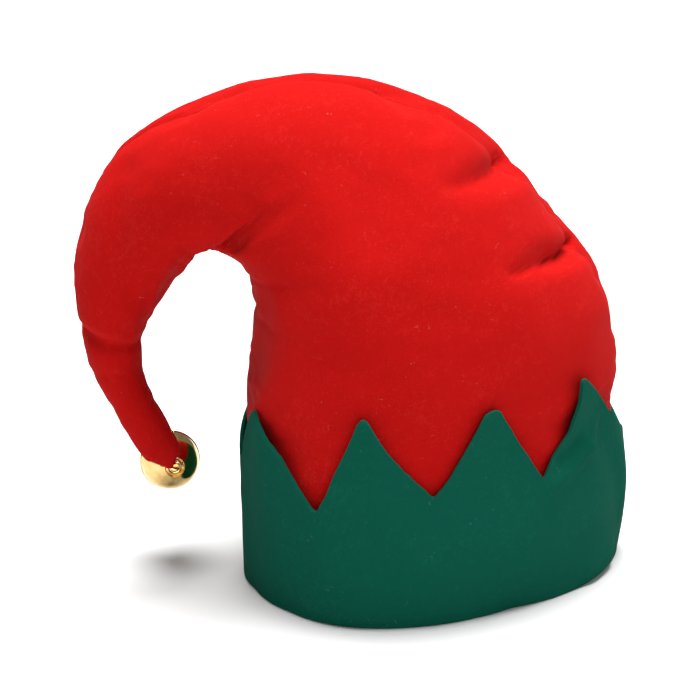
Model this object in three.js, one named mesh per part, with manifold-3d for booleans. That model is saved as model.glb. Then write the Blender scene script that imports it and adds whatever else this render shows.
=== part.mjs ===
// An elf hat in felt, standing on its rim.
// The red crown is a pair of curved panels, front and back, sewn edge to edge along the outside
// and the inside of the bend. It rises from the head, curls over to the left and droops to a point.
// A green cuff is turned up round it: its lower edge folds under the crown and a little way up
// inside, and its upper edge is cut into points. A jingle bell is sewn behind the end of the point.
// Millimetres, +Z up, +X to the right of the hat as seen from the front, which faces -Y.
// The origin is the middle of the whole hat's footprint, on the surface it stands on.

import * as THREE from "three";
import { mergeVertices } from "three/addons/utils/BufferGeometryUtils.js";
import Module from "manifold-3d";

// Driving dimensions
const rimWidth = 204; // outside of the cuff where the hat stands, left to right
const rimDepth = 178; // outside of the cuff where the hat stands, front to back
const hatHeight = 272; // from the rim to the top of the bend
const cuffHeight = 118; // from the rim to the tallest of the cuff's points, as if all were even
const crownFelt = 2; // thickness of the red felt
const cuffFelt = 2; // thickness of the green felt
const fitGap = 0.3; // air between two pieces that touch
const cuffEase = 0.5; // how much looser than that the cuff's wall and hem are on the crown
const leastHollow = 0.2; // half the hollow in the crown's very end, which never closes right up
const foldFade = 0.7; // share of a fold's depth that is gone at its far end
const deepestFold = 0.6; // share of the half section that a fold may press in
const hemHeight = 14; // how far the cuff's turned-in edge climbs inside the crown
const hemRounding = 1.2; // rounding of the cuff's fold at the rim
const pointRounding = 0.14; // share of each sloping edge of the cuff that its rounded point takes
const openingSkew = 0.13; // share of half its width that the rim's left end is forward, its right back
const openingEgg = 0.16; // how much deeper the rim is towards its left end than its right
const bellDiameter = 32;
const bellWall = 0.8;
const seamHeight = 1.6; // width of the crimped seam round the bell
const seamProud = 0.5; // how far that seam stands out
const slotWidth = 2; // the two slots that cross at the foot of the bell
const slotReach = 52; // degrees from the foot of the bell to each end of a slot
const slotEye = 5; // diameter of the round hole at each end of a slot
const wireDiameter = 1.5; // the bell's loop
const loopWidth = 6; // between the middles of the loop's two legs
const loopHeight = 6.5; // how far the loop stands above the bell
const footReach = 2.6; // how far each leg is spread under the bell's wall
const pelletDiameter = 7;
const bellBehind = 18.6; // from the middle of the crown's point back to the middle of the bell
const bellTurn = 9; // degrees that the bell's top is turned to the right from facing front
const bellTilt = 4; // degrees that it is tipped up
const bellRoll = 33; // degrees that the loop's width rises to the right
const bellPlace = { x: -0.717, z: 0.192 }; // shares, as in the table of sections

// Sizes that follow
const crownSeat = cuffFelt + fitGap; // height of the crown's lower edge, on the cuff's fold
const crownWidth = rimWidth - 2 * (crownSeat + cuffEase);
const crownDepth = rimDepth - 2 * (crownSeat + cuffEase);
const crownHeight = hatHeight - crownSeat;
const bellRadius = bellDiameter / 2;
const bellHollow = bellRadius - bellWall;

// Sections across the crown, from the rim to the point. Each is a line in the front view, from the
// inside of the bend to the outside of it. x is a share of crownWidth from the middle of the rim,
// z of crownHeight above the crown's lower edge, and depth, the size from front to back, and
// forward, the shift towards the front, are shares of crownDepth. full is 1 for an ellipse, and
// less for a section with a flatter front and back.
const crownSections = [
  { inX: -0.5, inZ: 0, outX: 0.495, outZ: 0, depth: 1, forward: 0, full: 1 },
  { inX: -0.5, inZ: 0.158, outX: 0.502, outZ: 0.158, depth: 1, forward: 0, full: 1 },
  { inX: -0.505, inZ: 0.318, outX: 0.47, outZ: 0.318, depth: 1, forward: 0, full: 0.98 },
  { inX: -0.49, inZ: 0.413, outX: 0.488, outZ: 0.407, depth: 1, forward: 0, full: 0.96 },
  { inX: -0.47, inZ: 0.496, outX: 0.473, outZ: 0.522, depth: 0.99, forward: 0, full: 0.95 },
  { inX: -0.473, inZ: 0.558, outX: 0.401, outZ: 0.628, depth: 0.965, forward: 0, full: 0.91 },
  { inX: -0.482, inZ: 0.612, outX: 0.291, outZ: 0.731, depth: 0.92, forward: 0, full: 0.86 },
  { inX: -0.512, inZ: 0.645, outX: 0.149, outZ: 0.846, depth: 0.84, forward: 0, full: 0.82 },
  { inX: -0.55, inZ: 0.658, outX: -0.068, outZ: 0.943, depth: 0.72, forward: 0.01, full: 0.815 },
  { inX: -0.586, inZ: 0.66, outX: -0.361, outZ: 0.984, depth: 0.59, forward: 0.02, full: 0.81 },
  { inX: -0.62, inZ: 0.648, outX: -0.663, outZ: 0.92, depth: 0.47, forward: 0.03, full: 0.8 },
  { inX: -0.676, inZ: 0.608, outX: -0.843, outZ: 0.836, depth: 0.39, forward: 0.04, full: 0.8 },
  { inX: -0.731, inZ: 0.554, outX: -0.923, outZ: 0.686, depth: 0.31, forward: 0.05, full: 0.8 },
  { inX: -0.773, inZ: 0.494, outX: -0.943, outZ: 0.547, depth: 0.24, forward: 0.055, full: 0.85 },
  { inX: -0.779, inZ: 0.42, outX: -0.92, outZ: 0.434, depth: 0.17, forward: 0.06, full: 0.9 },
  { inX: -0.751, inZ: 0.354, outX: -0.853, outZ: 0.327, depth: 0.13, forward: 0.06, full: 0.92 },
  { inX: -0.708, inZ: 0.292, outX: -0.783, outZ: 0.232, depth: 0.1, forward: 0.06, full: 0.95 },
  { inX: -0.683, inZ: 0.248, outX: -0.755, outZ: 0.217, depth: 0.06, forward: 0.06, full: 1 },
  { inX: -0.695, inZ: 0.219, outX: -0.724, outZ: 0.207, depth: 0.035, forward: 0.06, full: 1 },
];

// Dents and folds pressed into the crown. Each runs in a straight line over its panel from one
// place to another: along counts the sections above, and turn is in degrees round the crown from
// the front, with the inside of the bend at -90 and the outside at 90, and the back beyond them.
// depth and width are shares of crownHeight. The first two draw the foot of the front in, and the
// third, of negative depth, is where the hat bulges over its right side.
const crownFolds = [
  { fromAlong: -0.1, fromTurn: 12, toAlong: -0.1, toTurn: -60, depth: 0.019, width: 0.09 },
  { fromAlong: -0.1, fromTurn: -50, toAlong: -0.1, toTurn: -10, depth: 0.01, width: 0.09 },
  { fromAlong: 0.6, fromTurn: 92, toAlong: 2, toTurn: 78, depth: -0.012, width: 0.11 },
  { fromAlong: 5.2, fromTurn: 90, toAlong: 5.5, toTurn: 38, depth: 0.024, width: 0.045 },
  { fromAlong: 6.75, fromTurn: 90, toAlong: 7, toTurn: 45, depth: 0.03, width: 0.045 },
  { fromAlong: 8, fromTurn: 88, toAlong: 7.9, toTurn: 54, depth: 0.005, width: 0.035 },
  { fromAlong: 8.7, fromTurn: -52, toAlong: 8.6, toTurn: -18, depth: 0.025, width: 0.045 },
  { fromAlong: 10.8, fromTurn: 51, toAlong: 12.1, toTurn: -30, depth: 0.014, width: 0.06 },
  { fromAlong: 13.4, fromTurn: 60, toAlong: 13.3, toTurn: -80, depth: 0.012, width: 0.03 },
];

// The cuff's points and the notches that follow them, going right from the left of the front.
// turn is in degrees round the hat from the front, the heights are shares of cuffHeight, and lift,
// how far the felt stands off the crown there, is a share of cuffFelt.
const cuffPoints = [
  { turn: -67, height: 0.886, lift: 0.5, notchTurn: -37, notchHeight: 0.53, notchLift: 0.5 },
  { turn: -25, height: 1, lift: 1.3, notchTurn: 0, notchHeight: 0.64, notchLift: 0.7 },
  { turn: 18, height: 0.986, lift: 1.4, notchTurn: 37, notchHeight: 0.606, notchLift: 0.9 },
  { turn: 50, height: 1.05, lift: 2.4, notchTurn: 90, notchHeight: 0.6, notchLift: 0.7 },
  { turn: 118, height: 0.865, lift: 0.8, notchTurn: 140, notchHeight: 0.6, notchLift: 0.7 },
  { turn: 160, height: 0.96, lift: 1.4, notchTurn: 181, notchHeight: 0.6, notchLift: 0.7 },
  { turn: 203, height: 0.92, lift: 1.3, notchTurn: 226, notchHeight: 0.55, notchLift: 0.7 },
  { turn: 244, height: 0.822, lift: 0.6, notchTurn: 262, notchHeight: 0.525, notchLift: 0.4 },
];

// Facets
const stepsPerSection = 2.5; // of the crown, along it
const panelColumns = 16; // of each panel, from seam to seam
const cuffRows = [0, 0.15, 0.36, 0.58, 0.8, 1]; // shares of the height of the cuff's wall
const cuffSlopeSteps = [0, 0.1, 0.35, 0.68]; // along each sloping edge, from a point or notch
const bellSides = 24;
const eyeSides = 12;
const bellArcSteps = 12; // from the bell's foot to its top
const wireSteps = 26;

const hatMaterial = (color, roughness, metalness = 0) =>
  new THREE.MeshStandardMaterial({ color, roughness, metalness, side: THREE.DoubleSide });
const redFelt = hatMaterial(0xc01612, 0.95);
const greenFelt = hatMaterial(0x0f5040, 0.95);
const goldPlate = hatMaterial(0xe6c878, 0.12, 1);
const steel = hatMaterial(0xb9b4a8, 0.35, 1);

// A smooth run of one column of a table: exact on each row, curved between them.
function columnAt(rows, column, place) {
  const last = rows.length - 1;
  const row = Math.min(Math.floor(place), last - 1);
  const value = (n) => rows[Math.min(Math.max(n, 0), last)][column];
  const [a, b, c, d] = [value(row - 1), value(row), value(row + 1), value(row + 2)];
  const t = place - row;
  return b + 0.5 * t * (c - a + t * (2 * a - 5 * b + 4 * c - d + t * (3 * (b - c) + d - a)));
}

// The section across the crown at a place along the table.
function crownSection(along) {
  const share = (column) => columnAt(crownSections, column, along);
  const inside = new THREE.Vector2(share("inX") * crownWidth, crownSeat + share("inZ") * crownHeight);
  const outside = new THREE.Vector2(share("outX") * crownWidth, crownSeat + share("outZ") * crownHeight);
  return {
    middle: inside.clone().add(outside).multiplyScalar(0.5),
    across: outside.clone().sub(inside).normalize(),
    halfWidth: inside.distanceTo(outside) / 2,
    halfDepth: (share("depth") * crownDepth) / 2,
    forward: share("forward") * crownDepth,
    full: share("full"),
  };
}

// How far the folds press the crown in at one place. Each fades towards its far end.
function foldDepth(along, turn) {
  const perTurn = (crownSection(along).halfWidth * Math.PI) / 180; // millimetres to a degree of turn
  const perSection = crownHeight / 9; // millimetres to a section, near enough for a fold
  let pressed = 0;
  for (const fold of crownFolds) {
    const aside = THREE.MathUtils.euclideanModulo(turn - fold.fromTurn + 180, 360) - 180;
    const offset = new THREE.Vector2((along - fold.fromAlong) * perSection, aside * perTurn);
    const run = new THREE.Vector2(
      (fold.toAlong - fold.fromAlong) * perSection,
      (fold.toTurn - fold.fromTurn) * perTurn,
    );
    const share = THREE.MathUtils.clamp(offset.dot(run) / run.lengthSq(), 0, 1);
    const away = offset.sub(run.multiplyScalar(share)).length() / (fold.width * crownHeight);
    pressed += fold.depth * crownHeight * Math.exp(-2 * away * away) * (1 - foldFade * share);
  }
  return pressed;
}

// A point of the crown's outer face moved out along its section by grow, or in if grow is negative.
// The skew and the egg shape of the head opening die away up the crown.
// The panels lie apart by fitGap: side is 1 on the front one, -1 on the back one, 0 on the seam.
function crownPoint(along, turn, grow = 0, side = 0) {
  const section = crownSection(along);
  const angle = THREE.MathUtils.degToRad(turn);
  const halfWidth = Math.max(section.halfWidth + grow, leastHollow);
  const halfDepth = Math.max(section.halfDepth + grow, leastHollow);
  const pressed = Math.min(foldDepth(along, turn), Math.min(halfWidth, halfDepth) * deepestFold);
  const across = (halfWidth - pressed) * Math.sin(angle);
  const likeRim = ((2 * section.halfDepth) / crownDepth) ** 2 * Math.sin(angle);
  const rounded = Math.sign(Math.cos(angle)) * Math.abs(Math.cos(angle)) ** section.full;
  const deep = (halfDepth - pressed) * rounded * (1 - openingEgg * likeRim);
  const front = deep - halfWidth * openingSkew * likeRim + (side * fitGap) / 2;
  return new THREE.Vector3(
    section.middle.x + section.across.x * across,
    -(front + section.forward),
    section.middle.y + section.across.y * across,
  );
}

// The solid between an outer and an inner grid of points, each a list of equal rows. Rows of a ring
// close on themselves, and the others are closed by a wall along each side.
function sheetSolid(outer, inner, ring) {
  const rows = outer.length;
  const columns = outer[0].length;
  const points = [...outer.flat(), ...inner.flat()];
  const outerAt = (row, column) => row * columns + (column % columns);
  const innerAt = (row, column) => rows * columns + outerAt(row, column);
  const triangles = [];
  const quad = (a, b, c, d) => triangles.push(a, b, c, a, c, d);
  const spans = ring ? columns : columns - 1;
  for (let row = 0; row < rows - 1; row++) {
    for (let column = 0; column < spans; column++) {
      const corners = [[row, column], [row, column + 1], [row + 1, column + 1], [row + 1, column]];
      quad(...corners.map(([r, c]) => outerAt(r, c)));
      quad(...corners.reverse().map(([r, c]) => innerAt(r, c)));
    }
  }
  for (let column = 0; column < spans; column++) {
    quad(outerAt(0, column + 1), outerAt(0, column), innerAt(0, column), innerAt(0, column + 1));
    const end = rows - 1;
    quad(outerAt(end, column), outerAt(end, column + 1), innerAt(end, column + 1), innerAt(end, column));
  }
  for (let row = 0; row < rows - 1 && !ring; row++) {
    const side = columns - 1;
    quad(outerAt(row, 0), outerAt(row + 1, 0), innerAt(row + 1, 0), innerAt(row, 0));
    quad(outerAt(row + 1, side), outerAt(row, side), innerAt(row, side), innerAt(row + 1, side));
  }
  const geometry = new THREE.BufferGeometry().setFromPoints(points);
  geometry.setIndex(triangles);
  geometry.computeVertexNormals();
  return geometry;
}

// One felt panel of the crown, from seam to seam. side is 1 for the front and -1 for the back.
function crownPanel(side) {
  const lastSection = crownSections.length - 1;
  const steps = Math.round(lastSection * stepsPerSection);
  const grid = (grow) =>
    Array.from({ length: steps + 1 }, (_, row) =>
      Array.from({ length: panelColumns + 1 }, (_, column) => {
        const turn = (column / panelColumns) * 180 - 90;
        const place = (row / steps) * lastSection;
        return crownPoint(place, side > 0 ? turn : 180 - turn, grow, side);
      }),
    );
  const [outer, inner] = [grid(0), grid(-crownFelt)];
  return side > 0 ? sheetSolid(outer, inner, false) : sheetSolid(inner, outer, false);
}

// The place along the crown whose section lies at a height above the rim, low down where the
// sections are level.
function alongAtHeight(height) {
  let [low, high] = [0, 4];
  for (let n = 0; n < 30; n++) {
    const middle = (low + high) / 2;
    if (crownSection(middle).middle.y < height) low = middle;
    else high = middle;
  }
  return low;
}

// The cuff's columns: its turn round the hat, its height and its lift at each.
function cuffColumns() {
  const columns = [];
  const rounded = (f) =>
    (f < pointRounding ? (f * f) / (2 * pointRounding) : f - pointRounding / 2) / (1 - pointRounding / 2);
  cuffPoints.forEach((point, n) => {
    const next = cuffPoints[(n + 1) % cuffPoints.length];
    const nextTurn = next.turn > point.turn ? next.turn : next.turn + 360;
    for (const f of cuffSlopeSteps) {
      columns.push({
        turn: THREE.MathUtils.lerp(point.turn, point.notchTurn, f),
        height: THREE.MathUtils.lerp(point.height, point.notchHeight, rounded(f)) * cuffHeight,
        lift: THREE.MathUtils.lerp(point.lift, point.notchLift, f) * cuffFelt,
      });
    }
    for (const f of cuffSlopeSteps) {
      columns.push({
        turn: THREE.MathUtils.lerp(point.notchTurn, nextTurn, f),
        height: THREE.MathUtils.lerp(next.height, point.notchHeight, rounded(1 - f)) * cuffHeight,
        lift: THREE.MathUtils.lerp(point.notchLift, next.lift, f) * cuffFelt,
      });
    }
  });
  return columns;
}

// A point of the cuff: out from the crown's outer face by grow, at a height above the rim.
function cuffPoint(turn, height, grow) {
  const point = crownPoint(alongAtHeight(Math.max(height, crownSeat)), turn, grow, 0);
  return point.setZ(height);
}

// The green cuff: a wall round the crown that ends in points, a flat fold under the crown's lower
// edge, and a hem inside it.
function cuffGeometry() {
  const columns = cuffColumns();
  const wallGrow = (column, share, felt) => cuffEase + fitGap + felt + column.lift * share * share;
  const hemGrow = -(crownFelt + fitGap + cuffEase);
  const wall = (felt) =>
    cuffRows.map((share) =>
      columns.map((column) => {
        const foot = felt ? hemRounding : cuffFelt;
        const height = THREE.MathUtils.lerp(foot, column.height, share);
        return cuffPoint(column.turn, height, wallGrow(column, share, felt));
      }),
    );
  const ring = (height, grow) => columns.map(({ turn }) => cuffPoint(turn, height, grow));
  const outer = [ring(hemHeight, hemGrow - cuffFelt), ring(hemRounding, hemGrow - cuffFelt)];
  outer.push(ring(0, hemGrow - cuffFelt + hemRounding), ring(0, cuffEase + fitGap + cuffFelt - hemRounding));
  outer.push(...wall(cuffFelt));
  const innerWall = wall(0);
  const inner = [ring(hemHeight, hemGrow), ring(cuffFelt, hemGrow), ...innerWall];
  return ringSolid([...outer, ...inner.reverse()]);
}

// The solid that a closed profile sweeps round the hat: each row is one ring of the profile.
function ringSolid(rings) {
  const columns = rings[0].length;
  const at = (ring, column) => (ring % rings.length) * columns + (column % columns);
  const triangles = [];
  rings.forEach((_, ring) => {
    for (let column = 0; column < columns; column++) {
      triangles.push(at(ring, column), at(ring, column + 1), at(ring + 1, column + 1));
      triangles.push(at(ring, column), at(ring + 1, column + 1), at(ring + 1, column));
    }
  });
  const geometry = new THREE.BufferGeometry().setFromPoints(rings.flat());
  geometry.setIndex(triangles);
  geometry.computeVertexNormals();
  return geometry;
}

// A three.js geometry as a manifold-3d solid, and back.
function solidOf(geometry) {
  const bare = geometry.clone();
  bare.deleteAttribute("normal");
  bare.deleteAttribute("uv");
  const merged = mergeVertices(bare, 1e-4);
  const vertProperties = merged.attributes.position.array;
  return new wasm.Manifold(
    new wasm.Mesh({ numProp: 3, vertProperties, triVerts: new Uint32Array(merged.index.array) }),
  );
}

function geometryOf(solid) {
  const { vertProperties, triVerts } = solid.getMesh();
  const geometry = new THREE.BufferGeometry();
  geometry.setAttribute("position", new THREE.BufferAttribute(vertProperties, 3));
  geometry.setIndex(new THREE.BufferAttribute(triVerts, 1));
  geometry.computeVertexNormals();
  return geometry;
}

const wasm = await Module();
wasm.setup();

// Half of the bell's outline, from the foot to the top, at a distance in from its outer face.
function bellArc(inset, withSeam) {
  const points = [];
  for (let n = 0; n <= bellArcSteps; n++) {
    const angle = (n / bellArcSteps) * Math.PI;
    const radius = bellRadius - inset;
    points.push(new THREE.Vector2(Math.sin(angle) * radius, -Math.cos(angle) * radius));
  }
  if (withSeam) {
    const proud = bellRadius + seamProud;
    const seam = [-1, 1].map((sign) => new THREE.Vector2(proud, (sign * seamHeight) / 4));
    const beside = [-1, 1].map((sign) => new THREE.Vector2(bellRadius, (sign * seamHeight) / 2));
    points.splice(bellArcSteps / 2, 1, beside[0], ...seam, beside[1]);
  }
  points[0].x = 0;
  points[points.length - 1].x = 0;
  return points;
}

// The bell's shell, its top, where the loop comes out, at +Z.
function bellShellGeometry() {
  let shell = solidOf(new THREE.LatheGeometry(bellArc(0, true), bellSides));
  shell = shell.subtract(solidOf(new THREE.LatheGeometry(bellArc(bellWall, false), bellSides)));
  const reach = THREE.MathUtils.degToRad(slotReach);
  const slotLength = 2 * bellRadius * Math.sin(reach);
  const slotTop = bellRadius * (1 - Math.cos(reach));
  for (const turn of [0, 90]) {
    const slot = new THREE.BoxGeometry(slotLength, slotWidth, 2 * slotTop);
    slot.translate(0, 0, -bellRadius).rotateZ(THREE.MathUtils.degToRad(turn));
    shell = shell.subtract(solidOf(slot));
    for (const side of [-1, 1]) {
      const eye = new THREE.CylinderGeometry(slotEye / 2, slotEye / 2, bellRadius, eyeSides);
      eye.translate(0, -bellRadius, 0).rotateX(Math.PI / 2);
      eye.rotateY(side * reach).rotateZ(THREE.MathUtils.degToRad(turn));
      shell = shell.subtract(solidOf(eye));
    }
  }
  const wireSlot = new THREE.BoxGeometry(
    loopWidth + wireDiameter + 2 * fitGap,
    wireDiameter + 2 * fitGap,
    bellRadius,
  );
  shell = shell.subtract(solidOf(wireSlot.translate(0, 0, bellRadius)));
  return geometryOf(shell);
}

// The bell's loop: a wire whose two legs go down through the top and are spread under its wall.
function bellLoopGeometry() {
  const leg = loopWidth / 2;
  const under = Math.sqrt(bellHollow ** 2 - (leg + footReach + wireDiameter) ** 2);
  const foot = under - fitGap - wireDiameter / 2;
  const top = bellRadius + loopHeight - wireDiameter / 2;
  const half = [
    [leg + footReach, foot],
    [leg + footReach * 0.35, foot + 0.1],
    [leg, foot + wireDiameter],
    [leg, bellRadius + wireDiameter],
    [leg * 0.85, top - leg * 0.5],
    [leg * 0.45, top - leg * 0.1],
  ];
  const path = [
    ...half.map(([x, z]) => new THREE.Vector3(-x, 0, z)),
    new THREE.Vector3(0, 0, top),
    ...half.reverse().map(([x, z]) => new THREE.Vector3(x, 0, z)),
  ];
  const wire = new THREE.Shape().absarc(0, 0, wireDiameter / 2, 0, 2 * Math.PI);
  return new THREE.ExtrudeGeometry(wire, {
    steps: wireSteps,
    curveSegments: 3,
    extrudePath: new THREE.CatmullRomCurve3(path),
  });
}

function named(name, geometry, material) {
  const mesh = new THREE.Mesh(geometry, material);
  mesh.name = name;
  return mesh;
}

// The bell with its loop, and the pellet that lies loose in it.
function bell() {
  const shell = new THREE.Group();
  shell.add(named("bell_shell", bellShellGeometry(), goldPlate));
  shell.add(named("bell_loop", bellLoopGeometry(), goldPlate));
  shell.rotation.set(THREE.MathUtils.degToRad(90 - bellTilt), 0, THREE.MathUtils.degToRad(bellRoll));
  const pellet = named("bell_pellet", new THREE.SphereGeometry(pelletDiameter / 2, 12, 8), steel);
  pellet.position.z = fitGap + pelletDiameter / 2 - bellHollow;
  const group = new THREE.Group();
  group.add(shell, pellet);
  group.rotation.z = THREE.MathUtils.degToRad(bellTurn);
  return group;
}

const hat = new THREE.Group();
hat.add(named("crown_front", crownPanel(1), redFelt));
hat.add(named("crown_back", crownPanel(-1), redFelt));
hat.add(named("cuff", cuffGeometry(), greenFelt));

// The bell hangs behind the end of the crown's point.
const hung = bell();
const point = crownSection(crownSections.length - 1);
hung.position.set(
  bellPlace.x * crownWidth,
  bellBehind - point.forward,
  crownSeat + bellPlace.z * crownHeight,
);
hat.add(hung);

// The origin goes to the middle of the footprint of the whole hat.
const box = new THREE.Box3().setFromObject(hat);
hat.position.set(-(box.min.x + box.max.x) / 2, -(box.min.y + box.max.y) / 2, -box.min.z);

export default hat;
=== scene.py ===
import math

import bmesh
import bpy
import numpy as np
from mathutils import Matrix, Vector
from mathutils import noise as random_field


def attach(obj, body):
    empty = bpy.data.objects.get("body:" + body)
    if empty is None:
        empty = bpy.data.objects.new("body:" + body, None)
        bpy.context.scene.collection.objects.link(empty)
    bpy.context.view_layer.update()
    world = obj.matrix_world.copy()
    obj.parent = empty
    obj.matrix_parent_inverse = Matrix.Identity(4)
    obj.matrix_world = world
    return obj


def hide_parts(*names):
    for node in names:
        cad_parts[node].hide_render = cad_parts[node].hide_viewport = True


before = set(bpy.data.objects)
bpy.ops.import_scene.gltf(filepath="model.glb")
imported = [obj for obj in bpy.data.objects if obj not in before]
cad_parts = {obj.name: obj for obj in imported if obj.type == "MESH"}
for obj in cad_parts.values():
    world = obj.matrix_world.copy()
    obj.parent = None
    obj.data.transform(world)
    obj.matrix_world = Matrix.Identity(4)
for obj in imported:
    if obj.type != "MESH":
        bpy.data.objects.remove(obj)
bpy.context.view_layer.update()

MM = 0.001

# ---------------------------------------------------------------- the hat's sizes
RIM_MIDDLE = np.array([40.643, 2.462, 0.0]) * MM  # the middle of the rim, on the floor
CROWN_SEAT = 2.3 * MM  # height of the crown's lower edge, on the cuff's fold
CROWN_WIDTH = 198.4 * MM
CROWN_DEPTH = 172.4 * MM
CROWN_HEIGHT = 269.7 * MM
FELT = 2 * MM
FIT_GAP = 0.3 * MM
LEAST_HOLLOW = 0.2 * MM  # half the hollow in the crown's very end
DEEPEST_FOLD = 0.6  # share of the half section that a fold may press in
FOLD_FADE = 0.7  # share of a fold's depth that is gone at its far end
OPENING_SKEW = 0.13  # share of half its width that the rim's left end is forward, its right back
OPENING_EGG = 0.16  # how much deeper the rim is towards its left end than its right

# Sections across the crown, from the rim to the point, each a line from the inside of the bend to
# the outside of it: inside x and z, outside x and z, depth, forward, and full, which is 1 for an
# ellipse and less for a flatter front and back.
CROWN_SECTIONS = (
    (-0.5, 0, 0.495, 0, 1, 0, 1),
    (-0.5, 0.158, 0.502, 0.158, 1, 0, 1),
    (-0.505, 0.318, 0.47, 0.318, 1, 0, 0.98),
    (-0.49, 0.413, 0.488, 0.407, 1, 0, 0.96),
    (-0.47, 0.496, 0.473, 0.522, 0.99, 0, 0.95),
    (-0.473, 0.558, 0.401, 0.628, 0.965, 0, 0.91),
    (-0.482, 0.612, 0.291, 0.731, 0.92, 0, 0.86),
    (-0.512, 0.645, 0.149, 0.846, 0.84, 0, 0.82),
    (-0.55, 0.658, -0.068, 0.943, 0.72, 0.01, 0.815),
    (-0.586, 0.66, -0.361, 0.984, 0.59, 0.02, 0.81),
    (-0.62, 0.648, -0.663, 0.92, 0.47, 0.03, 0.8),
    (-0.676, 0.608, -0.843, 0.836, 0.39, 0.04, 0.8),
    (-0.731, 0.554, -0.923, 0.686, 0.31, 0.05, 0.8),
    (-0.773, 0.494, -0.943, 0.547, 0.24, 0.055, 0.85),
    (-0.779, 0.42, -0.92, 0.434, 0.17, 0.06, 0.9),
    (-0.751, 0.354, -0.853, 0.327, 0.13, 0.06, 0.92),
    (-0.708, 0.292, -0.783, 0.232, 0.1, 0.06, 0.95),
    (-0.683, 0.248, -0.755, 0.217, 0.06, 0.06, 1),
    (-0.695, 0.219, -0.724, 0.207, 0.035, 0.06, 1),
)

# The crown's main dents and folds: from along and turn, to along and turn, depth and width as
# shares of the crown's height. along counts the sections from the rim. turn is in degrees round
# the crown from the front, with the inside of the bend at -90 and the outside at 90.
CROWN_FOLDS = (
    (-0.1, 12, -0.1, -60, 0.019, 0.09),
    (-0.1, -50, -0.1, -10, 0.01, 0.09),
    (-0.1, 26, -0.1, 40, 0.021, 0.07),
    (-0.1, -72, -0.1, -54, 0.01, 0.06),
    (0.6, 92, 2, 78, -0.012, 0.11),
    (5.2, 90, 5.5, 38, 0.024, 0.045),
    (6.75, 90, 7, 45, 0.03, 0.045),
    (8, 88, 7.9, 54, 0.005, 0.035),
    (8.7, -52, 8.6, -18, 0.025, 0.045),
    (10.8, 51, 12.1, -30, 0.014, 0.06),
    (13.4, 60, 13.3, -80, 0.012, 0.03),
)

# Smaller creases, sharper than the folds: the same places, then depth and width in millimetres.
CROWN_CREASES = (
    (5.2, 94, 5.5, 38, 5.4, 2.7),
    (4.9, 88, 5.15, 50, -1.8, 7),
    (5.6, 62, 5.8, 30, 1.2, 8),
    (6.72, 96, 7.0, 46, 4.2, 2.8),
    (6.35, 88, 6.65, 50, -1.4, 7),
    (8.3, 90, 8.2, 76, 2.0, 4),
    (8.8, -60, 8.64, -12, 4.6, 3.0),
    (9.05, -46, 8.45, 4, -1.4, 5),
    (8.45, -52, 8.3, -8, 1.0, 6),
    (9.15, -74, 9.3, -30, 1.6, 5),
    (9.9, -72, 10.3, -34, 1.4, 4),
    (10.5, -72, 10.6, -44, 1.1, 3.5),
    (13.35, 80, 13.3, -84, 1.8, 3.5),
    (14.2, 70, 14.0, -70, 1.0, 3.5),
    (16.1, 60, 16.2, -60, 0.9, 3),
    (3.6, 90, 3.9, 62, 1.4, 8),
    (4.9, -90, 4.7, -50, 1.3, 8),
    (6.2, -90, 6.5, -46, 1.5, 7),
)

SEAM_ROLL = 0.5 * MM  # radius that each panel's edge turns in by at the seams
PUCKER_HEIGHT = 0.22 * MM
PUCKER_REACH = 13 * MM  # how far from a seam the puckers run
PUCKER_PITCH = 12.5 * MM
PUCKER_DRIFT = 41 * MM  # the length over which the puckers crowd and spread
POINT_CAP = 2.5 * MM  # how far the rounded cap of the point stands out
CAP_ANGLES = (0.5, 1.0, 1.35, 1.5)

# The cuff's cut edge, round the hat: turn, height in mm and lift off the crown in mm.
CUFF_EDGE = (
    (-88, 61.5, 0.8),
    (-77, 77, 0.8),
    (-71.5, 96, 1.0),
    (-69, 105, 1.2),
    (-67, 107.5, 1.4),
    (-61, 103, 2.0),
    (-50, 90, 1.8),
    (-38, 67, 1.4),
    (-36, 65, 1.4),
    (-32, 76, 1.2),
    (-26.5, 98, 1.6),
    (-24, 115, 2.4),
    (-22.5, 118.5, 2.6),
    (-21, 117, 2.6),
    (-17.5, 108, 2.6),
    (-12, 97, 2.4),
    (-3, 80, 2.0),
    (0, 74, 2.0),
    (5, 84, 2.2),
    (8.5, 94.5, 2.6),
    (12, 112, 3.4),
    (13.2, 116, 3.4),
    (15.5, 117.5, 3.4),
    (17.8, 116.3, 3.0),
    (19.5, 111, 2.6),
    (29, 88.5, 2.0),
    (34, 72, 2.2),
    (36.5, 78, 2.4),
    (42.5, 89, 3.0),
    (44.8, 94, 3.6),
    (45.3, 104, 4.2),
    (45.7, 121, 4.6),
    (46.3, 123, 4.6),
    (48, 121, 4.2),
    (53, 114, 3.2),
    (58.5, 106.5, 2.6),
    (65, 96, 3.6),
    (76.5, 82, 4.4),
    (92, 70, 3.0),
    (123, 102, 1.6),
    (140, 71, 1.4),
    (160, 113, 2.8),
    (181, 71, 1.4),
    (203, 108.5, 2.6),
    (226, 65, 1.4),
    (244, 97, 1.2),
)
EDGE_STEP = 1.4  # mm between the cuff's columns along its cut edge
EDGE_ROUNDING = 2  # how many times the cut's corners are eased
EDGE_MM_PER_DEGREE = 1.7  # round the hat, at the cut edge
WALL_MM_PER_DEGREE = 1.65  # round the hat, on the cuff's wall

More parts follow.
